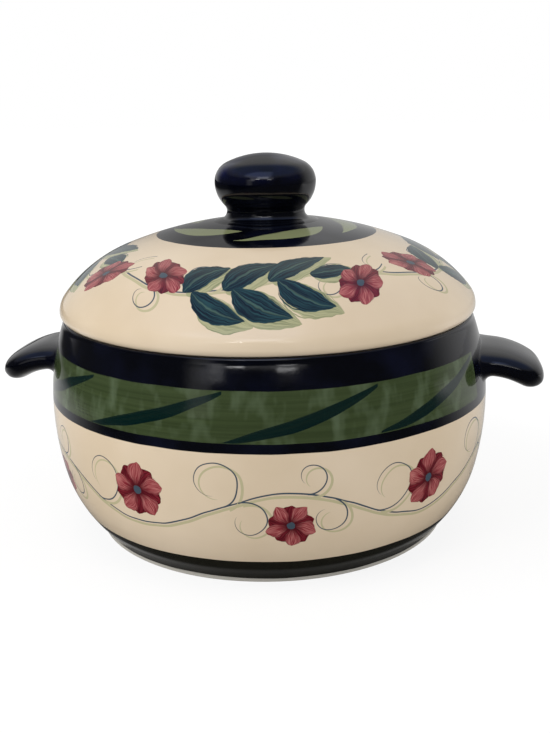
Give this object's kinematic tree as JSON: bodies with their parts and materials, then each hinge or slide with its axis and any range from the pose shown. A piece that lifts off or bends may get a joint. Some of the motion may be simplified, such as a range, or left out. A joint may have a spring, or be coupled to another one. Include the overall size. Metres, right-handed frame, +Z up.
{
  "type": "lidded casserole dish",
  "caption": "Round-bellied glazed pottery casserole with drooping lug handles, a foot ring and a domed lid with a turned knob that lifts straight off.",
  "frame": {"origin": "centre of the foot ring, on the surface that the dish stands on", "axes": "+Z up along the dish's own axis, +X through the right handle, so both handles lie along X"},
  "size_m": [0.2744, 0.22, 0.1844],
  "materials": {
    "cream_glaze": "glossy",
    "navy_glaze": "glossy"
  },
  "bodies": {
    "dish": {"dish_bowl": "cream_glaze", "handle_left": "navy_glaze", "handle_right": "navy_glaze"},
    "lid": {"lid_dome": "cream_glaze", "lid_knob": "navy_glaze"}
  },
  "joints": [
    {"name": "lid_lift", "type": "slide", "parent": "dish", "child": "lid", "axis": [0, 0, 1], "range_m": [0, 0.15]}
  ]
}
